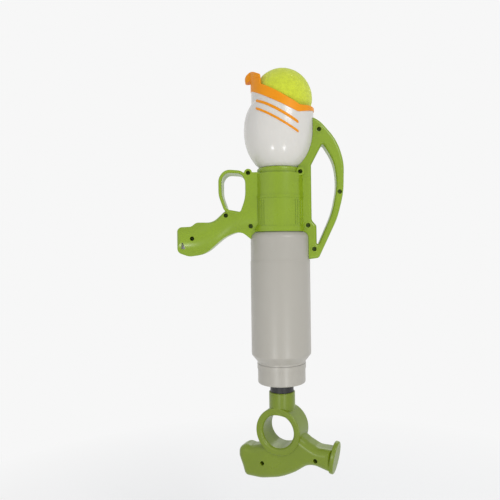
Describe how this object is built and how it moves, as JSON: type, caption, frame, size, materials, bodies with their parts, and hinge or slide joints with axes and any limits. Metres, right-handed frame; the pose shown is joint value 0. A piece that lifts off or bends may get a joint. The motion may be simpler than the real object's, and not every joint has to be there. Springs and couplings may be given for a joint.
{
  "type": "tennis ball launcher",
  "caption": "Hand-pumped air launcher for dog balls: ball cup with scoop lip, pistol grip, finger loop, long carrying handle and a T-handle on a sliding rod.",
  "frame": {"origin": "on the barrel's axis, halfway along its straight wall", "axes": "+Z along the barrel towards the muzzle, +X towards the carrying handle, -Y towards the side the screws go in from"},
  "size_m": [0.1781, 0.0764, 0.4418],
  "materials": {
    "felt": "optic yellow felt",
    "ball_rubber": "matt moulded rubber",
    "soft_orange": "soft satin elastomer",
    "white_shell": "blow-moulded white, semi-gloss",
    "green_shell": "injection-moulded lime green, semi-gloss",
    "screw_steel": "zinc plated",
    "black_rod": "satin black",
    "inner_plastic": "smooth natural plastic",
    "seal_rubber": "matt black rubber",
    "bumper_foam": "closed-cell foam"
  },
  "bodies": {
    "launcher": {"housing_front": "green_shell", "housing_back": "green_shell", "housing_screws": "screw_steel", "head_cup": "white_shell", "muzzle_lip": "soft_orange", "head_stripes": "soft_orange", "neck_seal": "seal_rubber", "pump_cylinder": "inner_plastic", "barrel": "white_shell", "end_cap": "white_shell", "rod_bush": "inner_plastic"},
    "piston_unit": {"piston": "inner_plastic", "piston_seal": "seal_rubber", "seal_plate": "screw_steel", "piston_bumper": "bumper_foam"},
    "pump_handle": {"pump_rod": "black_rod", "rod_plug": "inner_plastic", "piston_bolt": "screw_steel", "piston_nut": "screw_steel", "pump_handle_front": "green_shell", "pump_handle_back": "green_shell", "pump_handle_screws": "screw_steel"},
    "ball": {"ball_felt": "felt", "ball_core": "ball_rubber"}
  },
  "joints": [
    {"name": "pump_slide", "type": "slide", "parent": "launcher", "child": "piston_unit", "axis": [0, 0, -1], "range_m": [0, 0.1725]},
    {"name": "handle_turn", "type": "hinge", "parent": "piston_unit", "child": "pump_handle", "pos_m": [0, 0, 0], "axis": [0, 0, 1], "continuous": true},
    {"name": "ball_launch", "type": "slide", "parent": "launcher", "child": "ball", "axis": [0, 0, 1], "range_m": [0, 0.09]}
  ]
}
